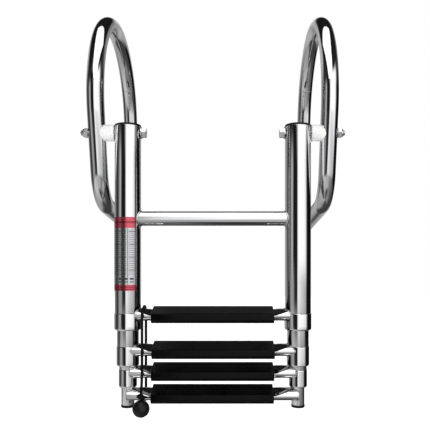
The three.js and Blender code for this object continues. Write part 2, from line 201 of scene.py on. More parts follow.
def braided_cord():
    """A woven sleeve: two sets of strands that cross, drawn from the cord's own UV."""
    m = Nodes("braided_cord")
    m.put(Metallic=0.0, Specular_IOR_Level=0.14)
    uv = m.add("ShaderNodeUVMap", uv_map="along")
    split = m.add("ShaderNodeSeparateXYZ")
    m.link(uv.outputs["UV"], split.inputs["Vector"])
    waves = []
    for sign in (1.0, -1.0):
        turn = m.add("ShaderNodeMath", operation="MULTIPLY")
        turn.inputs[1].default_value = sign * STRANDS
        m.link(split.outputs["X"], turn.inputs[0])
        total = m.add("ShaderNodeMath", operation="MULTIPLY_ADD")
        total.inputs[1].default_value = STRAND_TWIST
        m.link(split.outputs["Y"], total.inputs[0])
        m.link(turn.outputs[0], total.inputs[2])
        angle = m.add("ShaderNodeMath", operation="MULTIPLY")
        angle.inputs[1].default_value = 2 * math.pi
        m.link(total.outputs[0], angle.inputs[0])
        wave = m.add("ShaderNodeMath", operation="SINE")
        m.link(angle.outputs[0], wave.inputs[0])
        waves.append(wave.outputs[0])
    weave = m.add("ShaderNodeMath", operation="MAXIMUM")
    m.link(waves[0], weave.inputs[0])
    m.link(waves[1], weave.inputs[1])
    m.colours(weave.outputs[0], (0.002, 0.002, 0.0024), (0.009, 0.009, 0.01), 0.2, 0.95)
    m.link(m.between(weave.outputs[0], 0.75, 0.5, 0, 1), m.shader.inputs["Roughness"])
    m.bump(weave.outputs[0], 0.00025, 0.8)
    return m.material


def printed(name, colour, metallic, roughness):
    m = Nodes(name)
    m.put(Metallic=metallic, Coat_Weight=0.35, Coat_Roughness=0.12)
    fleck = m.noise(900.0, detail=2.0)
    low = tuple(c * 0.86 for c in colour)
    m.colours(fleck, low, colour)
    m.link(m.between(fleck, roughness - 0.05, roughness + 0.05), m.shader.inputs["Roughness"])
    m.bump(m.noise(240.0, detail=2.0), 0.00004, 0.3)
    return m.material


STEEL_UP = polished_steel("steel_rail", (6, 6, 0.12))
STEEL_ACROSS = polished_steel("steel_cross_tube", (0.12, 6, 6))
STEEL_LOOP = polished_steel("steel_handrail", (6, 0.5, 0.5))
STEEL_FASTENER = polished_steel("steel_fastener", (3, 3, 3), (0.08, 0.18), 0.8)
WELD = weld_steel()
COVER_RUBBER = moulded("step_cover_rubber", (0.0009, 0.0009, 0.001), (0.0022, 0.0022, 0.0024),
                       (0.25, 0.34), 900.0, 0.00004, 0.115)
BLACK_PLASTIC = moulded("black_plastic", (0.004, 0.004, 0.0045), (0.009, 0.009, 0.01),
                        (0.34, 0.5), 1500.0, 0.00004, 0.3)
NYLON = moulded("white_nylon", (0.78, 0.776, 0.765), (0.85, 0.846, 0.835),
                (0.38, 0.5), 1200.0, 0.00004)
BALL_RUBBER = moulded("ball_rubber", (0.003, 0.003, 0.0034), (0.008, 0.008, 0.009),
                      (0.32, 0.42), 1100.0, 0.00005, 0.28)
CORD = braided_cord()
LABEL_FIELD = printed("label_field", (0.58, 0.59, 0.60), 0.96, 0.2)
LABEL_RED = printed("label_red", (0.62, 0.10, 0.14), 0.86, 0.24)
LABEL_DEEP_RED = printed("label_deep_red", (0.34, 0.03, 0.055), 0.8, 0.24)
LABEL_INK = printed("label_ink", (0.09, 0.09, 0.095), 0.6, 0.3)
LABEL_BLACK = printed("label_black", (0.03, 0.03, 0.032), 0.2, 0.4)

# ---------------------------------------------------------------- mesh tools


def piece(name, verts, faces, materials, body, slot, replaces=(), sharp=32.0, uvs=None,
          material_index=None):
    """Makes one closed mesh object, rides it on a body and hides the CAD parts it replaces; slot is
    not used.
    """
    mesh = bpy.data.meshes.new(name)
    mesh.from_pydata([to_frame(v) for v in verts], [], faces)
    for material in materials:
        mesh.materials.append(material)
    if material_index:
        for polygon, index in zip(mesh.polygons, material_index):
            polygon.material_index = index
    if uvs:
        layer = mesh.uv_layers.new(name="along")
        for polygon, corners in zip(mesh.polygons, uvs):
            for loop, uv in zip(polygon.loop_indices, corners):
                layer.data[loop].uv = uv
    work = bmesh.new()
    work.from_mesh(mesh)
    bmesh.ops.recalc_face_normals(work, faces=work.faces)
    work.to_mesh(mesh)
    work.free()
    mesh.shade_smooth()
    mesh.set_sharp_from_angle(angle=math.radians(sharp))
    obj = bpy.data.objects.new(name, mesh)
    bpy.context.collection.objects.link(obj)
    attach(obj, body)
    if replaces:
        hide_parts(*replaces)


def grid(rings, close=False, cap=False):
    """Vertices and faces that join rings of points; each ring is closed."""
    count = len(rings[0])
    verts = [p for ring in rings for p in ring]
    faces = []
    for r in range(len(rings) if close else len(rings) - 1):
        a, b = r * count, (r + 1) % len(rings) * count
        for i in range(count):
            j = (i + 1) % count
            faces.append((a + i, a + j, b + j, b + i))
    if cap:
        last = (len(rings) - 1) * count
        faces.append(tuple(range(count)))
        faces.append(tuple(range(last, last + count)))
    return verts, faces


def merged(*parts):
    """One vertex and face list from several."""
    verts, faces = [], []
    for part_verts, part_faces in parts:
        offset = len(verts)
        verts += part_verts
        faces += [tuple(offset + i for i in face) for face in part_faces]
    return verts, faces


def lathe(profile, x=0.0, y=0.0, sides=112, close=True):
    """Turns [radius, height] points about a vertical axis. An open profile is capped."""
    rings = [[(x + r * math.cos(2 * math.pi * i / sides),
               y + r * math.sin(2 * math.pi * i / sides), z) for i in range(sides)]
             for r, z in profile]
    return grid(rings, close=close, cap=not close)


def corner(radius, height, bend, start, end, steps=7):
    """Part of a circle in a turned profile, between two angles in degrees."""
    out = []
    for i in range(steps + 1):
        angle = math.radians(start + (end - start) * i / steps)
        out.append((radius + bend * math.cos(angle), height + bend * math.sin(angle)))
    return out


# ---------------------------------------------------------------- rails

TUBE_R = {1: 19.05, 2: 15.875, 3: 12.7, 4: 9.525}
WALL = 1.2
SECTION = {1: "upper_frame", 2: "section_2", 3: "section_3", 4: "section_4"}
COLLAR_R = {1: 19.75, 2: 16.5, 3: 13.3}
LIP_CLEARANCE = 0.45


def rail_node(side, kind, index):
    if index == 1:
        return f"{side}_outer_{kind}"
    return f"{side}_{kind}_{index}"


def rail_tube(side, index):
    node = rail_node(side, "tube", index)
    low, high = height_of(node, 0), height_of(node, 1)
    r, soft = TUBE_R[index], 0.25
    inner = r - WALL
    profile = [(inner, low), (r - soft, low), *corner(r - soft, low + soft, soft, -90, 0, 3),
               (r, (low + high) / 2), *corner(r - soft, high - soft, soft, 0, 90, 3),
               (inner, high)]
    part = lathe(profile, SIGN[side] * RAIL_X)
    piece(f"rail_tube_{index}_{side}", *part, [STEEL_UP], SECTION[index], "polished_steel", [node])


def rail_collar(side, index):
    """The collar swells slightly over its tube and closes in round the next one."""
    node = rail_node(side, "collar", index)
    low, high = height_of(node, 0), height_of(node, 1)
    r = COLLAR_R[index]
    bore = TUBE_R[index] - WALL
    lip = TUBE_R[index + 1] + LIP_CLEARANCE
    bend = r - lip - 0.5
    profile = [(bore, low + 1.6), (lip, low + 1.6), (lip, low + 0.3),
               *corner(lip + 0.3, low + 0.3, 0.3, 180, 270, 3),
               *corner(r - bend, low + bend, bend, -90, 0, 10),
               (r, low + bend + 4), (r, high - 1.6),
               *corner(r - 0.6, high - 0.6, 0.6, 0, 90, 4),
               (bore, high)]
    part = lathe(profile, SIGN[side] * RAIL_X)
    piece(f"rail_collar_{index}_{side}", *part, [STEEL_UP], SECTION[index], "polished_steel",
          [node])


def top_plug(side):
    node = f"{side}_top_plug"
    low, high = height_of(node, 0), height_of(node, 1)
    rim, body = TUBE_R[1] + 0.2, TUBE_R[1] - WALL - 0.3
    seat = high - 3.4
    profile = [(0.4, low), *corner(body - 0.6, low + 0.6, 0.6, -90, 0, 3), (body, seat),
               (rim - 0.2, seat), *corner(rim - 0.2, seat + 0.2, 0.2, -90, 0, 2),
               *corner(rim - 1.3, seat + 1.5, 1.3, 0, 80, 8),
               (rim - 4, high - 0.35), (rim - 10, high - 0.12), (3.0, high), (2.6, high - 0.35),
               (0.4, high - 0.35)]
    part = lathe(profile, SIGN[side] * RAIL_X, close=False)
    piece(f"tube_plug_{side}", *part, [BLACK_PLASTIC], "upper_frame", "black_plastic", [node])


def foot_cap(side):
    node = f"{side}_foot_cap"
    high = height_of(node, 1)
    plug = TUBE_R[4] - WALL - 0.3
    profile = [(0.4, 0.35), (2.2, 0.35), (2.6, 0), *corner(9.0, 1.0, 1.0, -90, 0, 5),
               (10.0, 3.2), (9.8, 3.5), (plug, 3.5), (plug, high - 0.8), (plug - 0.8, high),
               (0.4, high)]
    part = lathe(profile, SIGN[side] * RAIL_X, close=False, sides=80)
    piece(f"foot_{side}", *part, [BLACK_PLASTIC], "section_4", "black_plastic", [node])


for side in SIDES:
    for index in (1, 2, 3, 4):
        rail_tube(side, index)
    for index in (1, 2, 3):
        rail_collar(side, index)
    top_plug(side)
    foot_cap(side)

# The guide bushes are out of sight inside the tubes: the CAD solids stay, in nylon.
for name, node_object in frame["nodes"].items():
    if "bush" in name:
        for material_slot in node_object.material_slots:
            material_slot.material = NYLON

# ---------------------------------------------------------------- cross tubes and welds


def rail_reach(y, radius, limit):
    """How far from the middle a cross tube goes at depth y, before it meets a rail."""
    inside = radius * radius - y * y
    return min(limit, RAIL_X - math.sqrt(inside) if inside > 0 else RAIL_X)


BEAD_SIDES, RIPPLE_LENGTH = 9, 6


def bead(name, curve, outward, body, radius, ripple):
    """A weld bead along a closed curve of points, with the ripples of a laid weld."""
    n = len(curve)
    rings = []
    for k in range(n):
        here, after, before = Vector(curve[k]), Vector(curve[(k + 1) % n]), Vector(curve[k - 1])
        tangent = (after - before).normalized()
        out = Vector(outward(k))
        out = (out - tangent * out.dot(tangent)).normalized()
        sideways = tangent.cross(out)
        r = radius + ripple * math.sin(2 * math.pi * k / RIPPLE_LENGTH)
        rings.append([tuple(here + (out * math.cos(a) + sideways * math.sin(a)) * r)
                      for a in (2 * math.pi * i / BEAD_SIDES for i in range(BEAD_SIDES))])
    verts, faces = grid(rings, close=True)
    piece(name, verts, faces, [WELD], body, "polished_steel", sharp=50.0)


BAR_Z = (height_of("crossbar", 0) + height_of("crossbar", 1)) / 2
BAR_R, BAR_WALL, BAR_SIDES = 10.65, 1.5, 96
BAR_WELD_POINTS = 216


def make_crossbar():
    rings = []
    for inset in (0.0, BAR_WALL):
        layer = []
        for t in (-1, -0.9, -0.5, 0.5, 0.9, 1):
            ring = []
            for i in range(BAR_SIDES):
                a = 2 * math.pi * i / BAR_SIDES
                y = (BAR_R - inset) * math.cos(a)
                z = BAR_Z + (BAR_R - inset) * math.sin(a)
                ring.append((t * rail_reach(y, TUBE_R[1] + 0.3, RAIL_X), y, z))
            layer.append(ring)
        rings.append(layer)
    verts, faces = grid(rings[0] + rings[1][::-1], close=True)
    piece("cross_bar", verts, faces, [STEEL_ACROSS], "upper_frame", "polished_steel", ["crossbar"])
    for side in SIDES:
        curve, outs = [], []
        for k in range(BAR_WELD_POINTS):
            a = 2 * math.pi * k / BAR_WELD_POINTS
            y = BAR_R * math.cos(a)
            curve.append((SIGN[side] * (rail_reach(y, TUBE_R[1], RAIL_X) - 0.3), y,
                          BAR_Z + BAR_R * math.sin(a)))
            outs.append((-SIGN[side] * 0.6, math.cos(a), math.sin(a)))
        bead(f"crossbar_weld_{side}", curve, lambda k: outs[k], "upper_frame",
             radius=1.2, ripple=0.06)


make_crossbar()

# ---------------------------------------------------------------- steps

SLOPE = math.radians(17)
HALF_DEPTH, HALF_HEIGHT = 15.5, 9.0
PRESSED, UNPRESSED = 4.2, 9.9
PRESS_START, PRESS_END = 111.0, 90.0
STEP_POINTS = 144
# How softly the pressed top runs into the oval, and the least rise that counts as its top.
PRESS_BLEND, TOP_RISE = 1.1, 0.02


def smooth_min(a, b, k):
    h = max(k - abs(a - b), 0.0) / k
    return min(a, b) - h * h * k / 4


def step_outline(x, inset=0.0):
    """The step tube's section at x: an oval whose top is pressed down along the slope."""
    pressed = min(1.0, max(0.0, (PRESS_START - abs(x)) / (PRESS_START - PRESS_END)))
    depth = UNPRESSED + (PRESSED - UNPRESSED) * pressed - inset
    a, b = HALF_DEPTH - inset, HALF_HEIGHT - inset
    points = []
    for i in range(STEP_POINTS):
        angle = 2 * math.pi * i / STEP_POINTS
        y, z = a * math.cos(angle), b * math.sin(angle)
        r = math.hypot(y, z)
        rise = (z * math.cos(SLOPE) - y * math.sin(SLOPE)) / r
        if rise > TOP_RISE:
            limited = smooth_min(r, depth / rise, PRESS_BLEND)
            y, z = y * limited / r, z * limited / r
        points.append((y, z))
    return points


STEP_STATIONS = [-1, -0.985, -0.97] + [round(-0.95 + 0.0125 * i, 4) for i in range(18)]
STEP_STATIONS += [-0.5, 0.5] + [-t for t in reversed(STEP_STATIONS)]


def step_tube(index, radius, limit, body):
    node = f"step_{index}_tube"
    z0 = (height_of(node, 0) + height_of(node, 1)) / 2
    above = None
    if index == 3:
        above = (COLLAR_R[2] + 0.3, height_of("left_collar_2", 0) - 0.3)
    layers = []
    for inset in (0.0, WALL):
        base = step_outline(PRESS_START, inset)
        ends = [rail_reach(y, radius + 0.3, limit) for y, _ in base]
        layer = []
        for t in STEP_STATIONS:
            ring = []
            for i in range(STEP_POINTS):
                x = t * ends[i]
                y, z = step_section_point(x, i, inset)
                z += z0
                if above and z > above[1] and math.hypot(abs(x) - RAIL_X, y) < above[0]:
                    z = above[1]
                ring.append((x, y, z))
            layer.append(ring)
        layers.append(layer)
    verts, faces = grid(layers[0] + layers[1][::-1], close=True)
    piece(f"step_bar_{index}", verts, faces, [STEEL_ACROSS], body, "polished_steel", [node])
    for side in SIDES:
        base = step_outline(PRESS_START, 0.0)
        curve, outs = [], []
        n = len(base)
        for k in range(n * 2):
            y0, z_a = base[k // 2]
            y1, z_b = base[(k // 2 + 1) % n]
            y, z = ((y0 + y1) / 2, (z_a + z_b) / 2) if k % 2 else (y0, z_a)
            x = rail_reach(y, radius, limit)
            curve.append((SIGN[side] * (x - 0.2), y, z0 + z))
            outs.append((-SIGN[side] * 0.5, y, z * 2.6))
        smooth = curve
        for _ in range(3):
            smooth = [tuple((Vector(smooth[k - 1]) + Vector(smooth[k]) * 2
                             + Vector(smooth[(k + 1) % len(smooth)])) / 4)
                      for k in range(len(smooth))]
        bead(f"step_{index}_weld_{side}", smooth, lambda k: outs[k], body, radius=0.75,
             ripple=0.05)


SECTION_CACHE = {}


def step_section_point(x, i, inset):
    key = (round(abs(x), 2), inset)
    if key not in SECTION_CACHE:
        SECTION_CACHE[key] = step_outline(key[0], inset)
    return SECTION_CACHE[key][i]


for index, (radius, limit) in enumerate(((COLLAR_R[1], 125), (COLLAR_R[2], 125),
                                         (COLLAR_R[3], 120), (TUBE_R[4], 125)), 1):
    step_tube(index, radius, limit, SECTION[index])

COVER_HALF_DEPTH, COVER_HALF_HEIGHT, COVER_CORNER = 18.0, 11.5, 6.5
COVER_TOP = 7.4
COVER_POINTS, BORE_ROOM = 160, 0.3
# A cover's outline is found by halving: how far out it looks, and how often it halves.
OUTLINE_REACH, HALVINGS = 40.0, 26


def cover_outline(shrink):
    """Rounded box cut by the tread's slope, from the middle outwards, edges eased."""
    points = []
    for i in range(COVER_POINTS):
        angle = 2 * math.pi * i / COVER_POINTS
        uy, uz = math.cos(angle), math.sin(angle)
        low, high = 0.0, OUTLINE_REACH
        for _ in range(HALVINGS):
            r = (low + high) / 2
            y, z = uy * r, uz * r
            qy = abs(y) - (COVER_HALF_DEPTH - COVER_CORNER)
            qz = abs(z) - (COVER_HALF_HEIGHT - COVER_CORNER)
            box = (math.hypot(max(qy, 0), max(qz, 0)) + min(max(qy, qz), 0)) - COVER_CORNER
            plane = z * math.cos(SLOPE) - y * math.sin(SLOPE) - COVER_TOP
            value = -smooth_min(-box, -plane, 1.0) + shrink
            if value > 0:
                high = r
            else:
                low = r
        points.append((uy * low, uz * low))
    return points


def bore_outline():
    """The hole through a cover: the pressed step tube with a little room round it."""
    points = []
    a, b = HALF_DEPTH + BORE_ROOM, HALF_HEIGHT + BORE_ROOM
    for i in range(COVER_POINTS):
        angle = 2 * math.pi * i / COVER_POINTS
        r = a * b / math.hypot(b * math.cos(angle), a * math.sin(angle))
        rise = math.sin(angle) * math.cos(SLOPE) - math.cos(angle) * math.sin(SLOPE)
        if rise > TOP_RISE:
            r = smooth_min(r, (PRESSED + BORE_ROOM) / rise, PRESS_BLEND)
        points.append((r * math.cos(angle), r * math.sin(angle)))
    return points


def step_cover(index, body):
    node = f"step_{index}_cover"
    low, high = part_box(node)
    x0, x1 = low[0] / MM, high[0] / MM
    z0 = (height_of(f"step_{index}_tube", 0) + height_of(f"step_{index}_tube", 1)) / 2
    if index == 3:
        z0 = height_of("step_3_tube", 0) + HALF_HEIGHT
    full, bore = cover_outline(0.0), bore_outline()
    ease = [(0.0, 0.6), (0.12, 0.3), (0.35, 0.09), (0.7, 0.0)]
    eased = {s: cover_outline(s) for _, s in ease}
    rings = [[(x0 + dx, y, z0 + z) for y, z in eased[s]] for dx, s in ease]
    rings += [[(x0 + (x1 - x0) * t, y, z0 + z) for y, z in full] for t in (0.25, 0.5, 0.75)]
    rings += [[(x1 - dx, y, z0 + z) for y, z in eased[s]] for dx, s in reversed(ease)]
    rings += [[(x, y, z0 + z) for y, z in bore] for x in (x1, (x0 + x1) / 2, x0)]
    verts, faces = grid(rings, close=True)
    piece(f"step_tread_{index}", verts, faces, [COVER_RUBBER], body, "step_cover", [node],
          sharp=40.0)


for index in (1, 2, 3, 4):
    step_cover(index, SECTION[index])

# ---------------------------------------------------------------- pivots

PIVOT_Z = round((frame["record"]["behaviour"]["joints"][0]["pos_m"][2] - HOME.z) / MM, 2)
HEX, HEX_CHAMFER = 7.5, 0.25
PIVOT_SIDES = 96
THREAD_PITCH = 1.25


def hex_radius(angle):
    """A hexagon with two of its corners fore and aft, as the CAD nut and bolt head stand."""
    flat = HEX * math.cos(math.pi / 6)
    return flat / math.cos(angle % (math.pi / 3) - math.pi / 6)


def hexagon(x_start, x_end, chamfer_start, chamfer_end):
    """Rings of a hexagonal prism about X, with 30 degree chamfers on the chosen ends."""
    inner = HEX * math.cos(math.pi / 6) - HEX_CHAMFER

    def ring(kind, base, sign):
        out = []
        for i in range(PIVOT_SIDES):
            a = 2 * math.pi * i / PIVOT_SIDES
            r = hex_radius(a)
            if kind == "circle":
                out.append((base, inner * math.cos(a), inner * math.sin(a)))
            else:
                push = max(0.0, (r - inner)) * math.tan(math.radians(30)) * sign
                out.append((base + push, r * math.cos(a), r * math.sin(a)))
        return out

    rings = []
    if chamfer_start:
        rings += [ring("circle", x_start, 0), ring("hex", x_start, 1)]
    else:
        rings += [ring("hex", x_start, 0)]
    if chamfer_end:
        rings += [ring("hex", x_end, -1), ring("circle", x_end, 0)]
    else:
        rings += [ring("hex", x_end, 0)]
    return rings


def turned_x(profile):
    """Rings about X from [x, radius] points."""
    angles = [2 * math.pi * i / PIVOT_SIDES for i in range(PIVOT_SIDES)]
    return [[(x, r * math.cos(a), r * math.sin(a)) for a in angles] for x, r in profile]


def place_pivot(side, rings, close=False):
    s = SIGN[side]
    moved = [[(s * x, y, PIVOT_Z + z) for x, y, z in ring] for ring in rings]
    return grid(moved, close=close, cap=not close)


def ends_of(node):
    """A node's near and far ends, in millimetres from the ladder's middle."""
    return sorted(abs(v[0]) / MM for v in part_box(node))


def pivot(side):
    inner, outer = ends_of(f"{side}_pivot_bolt")
    head_end = inner + 6.5
    head = hexagon(inner + 0.35, head_end, True, False)
    crown = turned_x([(inner + 0.2, 4.6), (inner + 0.12, 4.2), (inner + 0.35, 3.4)])
    shank = [(head_end, 4.0), (outer - 13, 4.0)]
    thread = []
    x = outer - 12.5
    while x < outer - 1.0:
        thread += [(x, 3.98), (x + 0.3, 3.98), (x + 0.62, 3.4), (x + 0.94, 3.4)]
        x += THREAD_PITCH
    tail = [(outer - 0.6, 3.5), (outer, 3.0)]
    bolt = merged(place_pivot(side, crown[::-1] + head),
                  place_pivot(side, turned_x(shank + thread + tail)))
    piece(f"hex_bolt_{side}", *bolt, [STEEL_FASTENER], "upper_frame", "fastener_steel",
          [f"{side}_pivot_bolt"], sharp=25.0)

    a, b = ends_of(f"{side}_bolt_washer")
    washer = turned_x([(a, 4.4), (a, 8.3), (a + 0.15, 8.5), (b - 0.15, 8.5), (b, 8.3), (b, 4.4)])
    piece(f"washer_{side}", *place_pivot(side, washer, close=True), [STEEL_FASTENER],
          "upper_frame", "fastener_steel", [f"{side}_bolt_washer"], sharp=25.0)

    a, b = ends_of(f"{side}_lock_nut")
    hex_part = hexagon(a, a + 5.6, True, True)
    dome = turned_x([(a + 5.62, 6.1), (a + 6.6, 6.0), (b - 0.5, 5.6), (b, 5.0), (b, 4.4)])
    bore = turned_x([(b - 0.4, 4.15), (a, 4.15)])
    piece(f"nut_{side}", *place_pivot(side, hex_part + dome + bore, close=True),
          [STEEL_FASTENER], "upper_frame", "fastener_steel", [f"{side}_lock_nut"], sharp=25.0)


for side in SIDES:
    pivot(side)

# ---------------------------------------------------------------- handrails

HANDRAIL_X = round(centre_of("right_handrail").x / MM, 2)
HANDRAIL_R = 12.7
LEG_LEAN = math.radians(13.5)
LEG_UP = math.pi / 2 + LEG_LEAN
RUN = -math.radians(6.8)
TOP_BEND, LOW_BEND = 139.7, 60.0
ABOVE, BELOW = 29.3, 57.5
LOOP_SIDES = 72
# The spacer's saddle: how near the loop's middle it comes, and its room round the tube.
SADDLE_TIP, SADDLE_ROOM = 5.6, 0.12


def heading(angle):
    return Vector((math.cos(angle), math.sin(angle)))


def handrail_centres():
    pivot_point = Vector((0.0, PIVOT_Z))
    leg_top = pivot_point + heading(LEG_UP) * ABOVE
    leg_low = pivot_point - heading(LEG_UP) * BELOW
    across = heading(LEG_UP - math.pi / 2)
    front = leg_low + across * LOW_BEND
    run_start = front + heading(RUN - math.pi / 2) * LOW_BEND
    a = run_start + heading(RUN + math.pi / 2) * LOW_BEND
    b = leg_top + across * 2 * TOP_BEND + heading(LEG_UP + math.pi / 2) * LOW_BEND
    da, db, gap = heading(RUN), heading(LEG_UP), b - a
    along = (gap.x * db.y - gap.y * db.x) / (da.x * db.y - da.y * db.x)
    return leg_top + across * TOP_BEND, front, a + da * along


TOP_CENTRE, FRONT_CENTRE, BACK_CENTRE = handrail_centres()


def bend(centre, radius, start, end, steps):
    out = []
    for i in range(steps + 1):
        h = start + (end - start) * i / steps
        out.append((centre + heading(h - math.pi / 2) * radius, h))
    return out


def handrail_route():
    return (bend(FRONT_CENTRE, LOW_BEND, LEG_UP - math.pi, RUN, 40)
            + bend(BACK_CENTRE, LOW_BEND, RUN, LEG_UP, 44)
            + bend(TOP_CENTRE, TOP_BEND, LEG_UP, LEG_UP + math.pi, 96))


def handrail_ring(x, point, angle, radius, sides):
    side_way = heading(angle - math.pi / 2)
    ring = []
    for i in range(sides):
        a = 2 * math.pi * i / sides
        flat = point + side_way * (radius * math.cos(a))
        ring.append((x + radius * math.sin(a), flat.x, flat.y))
    return ring


def handrail(side):
    x = SIGN[side] * HANDRAIL_X
    rings = [handrail_ring(x, p, h, HANDRAIL_R, LOOP_SIDES)
             for p, h in handrail_route()]
    piece(f"handrail_loop_{side}", *grid(rings, close=True), [STEEL_LOOP], "handrails",
          "polished_steel", [f"{side}_handrail"])
    # The loop's ends meet in a ground butt weld on the rear of the top bend.
    turn = LEG_UP + math.radians(20.0)
    rings = []
    for i in range(7):
        h = turn + (i - 3) * 0.35 / TOP_BEND
        point = TOP_CENTRE + heading(h - math.pi / 2) * TOP_BEND
        radius = HANDRAIL_R + 0.16 - 0.02 * (i - 3) ** 2
        rings.append(handrail_ring(x, point, h, radius, LOOP_SIDES))
    piece(f"loop_weld_{side}", *grid(rings, cap=True), [WELD], "handrails", "polished_steel")


def spacer(side):
    """Nylon spacer with a flat end on the rail and a saddle that fits the handrail."""
    start = ends_of(f"{side}_spacer")[0]
    limit = HANDRAIL_X - SADDLE_TIP

    def reach(y, z):
        across = y * math.cos(LEG_LEAN) + z * math.sin(LEG_LEAN)
        inside = (HANDRAIL_R + SADDLE_ROOM) ** 2 - across ** 2
        saddle = HANDRAIL_X - math.sqrt(inside) if inside > 0 else HANDRAIL_X
        return smooth_min(limit, saddle, 3.0)

    def ring(radius, t=None, x=None):
        out = []
        for i in range(PIVOT_SIDES):
            a = 2 * math.pi * i / PIVOT_SIDES
            y, z = radius * math.cos(a), radius * math.sin(a)
            px = x if t is None else start + (reach(y, z) - start) * t
            out.append((px, y, z))
        return out

    rings = [ring(4.4, x=start), ring(11.4, x=start), ring(11.85, x=start + 0.2),
             ring(12.0, x=start + 0.7), ring(12.0, t=0.5), ring(12.0, t=0.95),
             ring(11.8, t=1.0), ring(8.0, t=1.0), ring(4.4, t=1.0)]
    piece(f"spacer_block_{side}", *place_pivot(side, rings, close=True), [NYLON], "handrails",
          "spacer_nylon", [f"{side}_spacer"], sharp=38.0)


for side in SIDES:
    handrail(side)
    spacer(side)

# ---------------------------------------------------------------- label

LABEL_LOW, LABEL_HIGH = height_of("tube_label", 0), height_of("tube_label", 1)
LABEL_FROM, LABEL_TO = -202.0, -42.0
LABEL_R, LABEL_T, LABEL_STEP = 19.35, 0.3, 0.5


def label_rows():
    """Heights of the printed rows, top to bottom, each with what is printed on it."""
    rows = [(LABEL_HIGH, "red"), (LABEL_HIGH - 6.2, "deep"), (LABEL_HIGH - 9.0, "red"),
            (LABEL_HIGH - 15.8, "field")]
    z = LABEL_HIGH - 20.0
    step = 0
    while z > LABEL_LOW + 24:
        rows += [(z, "rule" if step % 6 else "heading"), (z - (0.55 if step % 6 else 1.2), "field")]
        z -= 3.1
        step += 1
    rows += [(LABEL_LOW + 18.6, "bars"), (LABEL_LOW + 16.0, "field"),
             (LABEL_LOW + 13.6, "bars"), (LABEL_LOW + 12.2, "field"),
             (LABEL_LOW + 8.8, "red"), (LABEL_LOW + 7.4, "deep"), (LABEL_LOW + 6.2, "red"),
             (LABEL_LOW + 5.4, "deep"), (LABEL_LOW + 3.8, "red"), (LABEL_LOW + 3.0, "deep"),
             (LABEL_LOW + 1.2, "red"), (LABEL_LOW, None)]
    return rows


def label_print(kind, angle):
    """Which of the label's inks covers a place: 0 field, 1 red, 2 deep red, 3 grey, 4 black."""
    if kind == "red":
        return 1
    if kind == "deep":
        return 2
    column = -160 < angle < -86 or -76 < angle < -48
    if kind in ("rule", "heading") and column:
        return 3
    if kind == "bars" and -120 < angle < -52 and (angle // 9) % 3 != 0:
        return 4
    if -81.5 < angle < -79.0:
        return 3
    return 0


def make_label():
    rows = label_rows()
    count = int((LABEL_TO - LABEL_FROM) / LABEL_STEP) + 1
    angles = [LABEL_FROM + LABEL_STEP * i for i in range(count)]
    x0 = -RAIL_X
    verts, faces, inks = [], [], []

    def place(radius, angle, z):
        a = math.radians(angle)
        verts.append((x0 + radius * math.cos(a), radius * math.sin(a), z))

    for radius in (LABEL_R + LABEL_T, LABEL_R):
        for z, _ in rows:
            for angle in angles:
                place(radius, angle, z)
    columns, levels = len(angles), len(rows)
    layer = columns * levels
    for row in range(levels - 1):
        kind = rows[row][1]
        for c in range(columns - 1):
            a = row * columns + c
            quad = (a, a + 1, a + 1 + columns, a + columns)
            faces.append(quad)
            inks.append(label_print(kind, (angles[c] + angles[c + 1]) / 2))
            faces.append(tuple(layer + i for i in reversed(quad)))
            inks.append(0)
        for edge in (row * columns, row * columns + columns - 1):
            faces.append((edge, edge + columns, layer + edge + columns, layer + edge))
            inks.append(0)
    for c in range(columns - 1):
        for edge in (c, (levels - 1) * columns + c):
            faces.append((edge, edge + 1, layer + edge + 1, layer + edge))
            inks.append(0)
    piece("label_wrap", verts, faces,
          [LABEL_FIELD, LABEL_RED, LABEL_DEEP_RED, LABEL_INK, LABEL_BLACK], "upper_frame",
          "label", ["tube_label"], material_index=inks)


make_label()

# ---------------------------------------------------------------- elastic cord and ball

CORD_X, CORD_R = -101.3, 2.0
CORD_SIDES, CORD_STEP = 14, 0.9
CORD_ROUTE = [
    (-28.6, 17.7), (-27.4, 22), (-24.2, 31), (-20.6, 42), (-18.6, 56), (-18.2, 72), (-18.2, 96),
    (-18.3, 122), (-18.4, 132), (-18.1, 137.6), (-15.7, 141.8), (-10.2, 144.3), (-3.6, 146.1),
    (3, 147.4), (9.2, 146.3), (14, 143.4), (17.3, 139), (18.4, 133), (18.3, 118), (18.3, 94),
    (18.3, 68), (18.3, 42), (18.5, 22), (16.2, 12.6), (9, 7.8), (0, 6.6), (-8.8, 8.0),
    (-14.9, 11.6), (-19.3, 16.2),
]
EYE_CENTRE = Vector((CORD_X, -28.0, 19.6))
EYE_RADIUS = 4.3


def cord_points():
    """The cord's centre line: from the ball, round the steps, then an eye round itself."""
    points = [Vector((CORD_X, y, z)) for y, z in CORD_ROUTE]
    for i in range(13):
        turn = math.radians(10 + 28 * i)
        points.append(EYE_CENTRE + Vector((EYE_RADIUS * math.sin(turn),
                                           EYE_RADIUS * math.cos(turn), 0.32 * i)))
    return points


def catmull_rom(points, step):
    """A smooth line through the points, with a point at about every step."""
    out = []
    padded = [points[0] * 2 - points[1]] + points + [points[-1] * 2 - points[-2]]
    for i in range(1, len(padded) - 2):
        p0, p1, p2, p3 = padded[i - 1:i + 3]
        count = max(2, int((p2 - p1).length / step))
        for k in range(count):
            t = k / count
            out.append(0.5 * (2 * p1 + (p2 - p0) * t + (2 * p0 - 5 * p1 + 4 * p2 - p3) * t * t
                              + (3 * p1 - p0 - 3 * p2 + p3) * t * t * t))
    out.append(points[-1])
    return out


